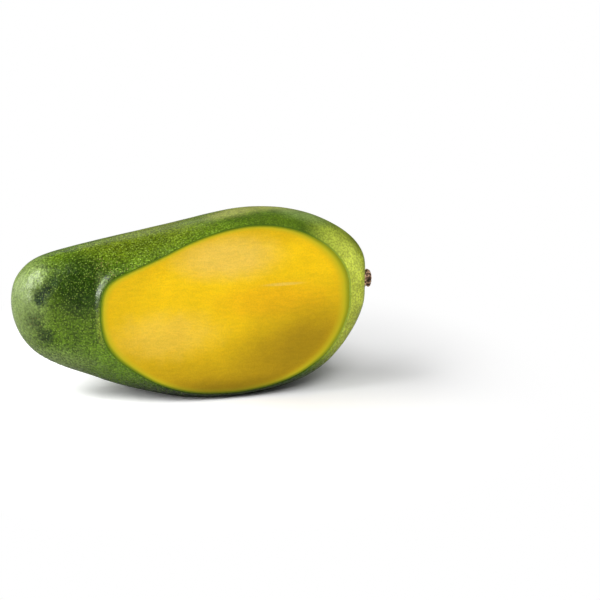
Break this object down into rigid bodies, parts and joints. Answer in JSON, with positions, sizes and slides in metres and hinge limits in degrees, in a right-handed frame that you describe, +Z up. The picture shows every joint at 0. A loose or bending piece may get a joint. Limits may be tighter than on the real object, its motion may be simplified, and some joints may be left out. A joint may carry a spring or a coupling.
{
  "type": "mango",
  "caption": "Long green mango lying on its side with a cheek sliced away to show flat yellow flesh, and a woody stem stub at one end.",
  "frame": {"origin": "middle of the small flat spot that the fruit rests on", "axes": "+X from the blossom tip to the stem end, the sliced face looks towards -Y, +Z up"},
  "size_m": [0.1504, 0.0493, 0.0778],
  "materials": {
    "skin": "waxy green peel with fine pale dots, semi-gloss",
    "flesh": "moist golden yellow flesh, smooth knife cut",
    "stem": "dry woody stub, rough"
  },
  "bodies": {
    "root": {"mango_fruit": "skin", "stem_stub": "stem"}
  },
  "joints": []
}
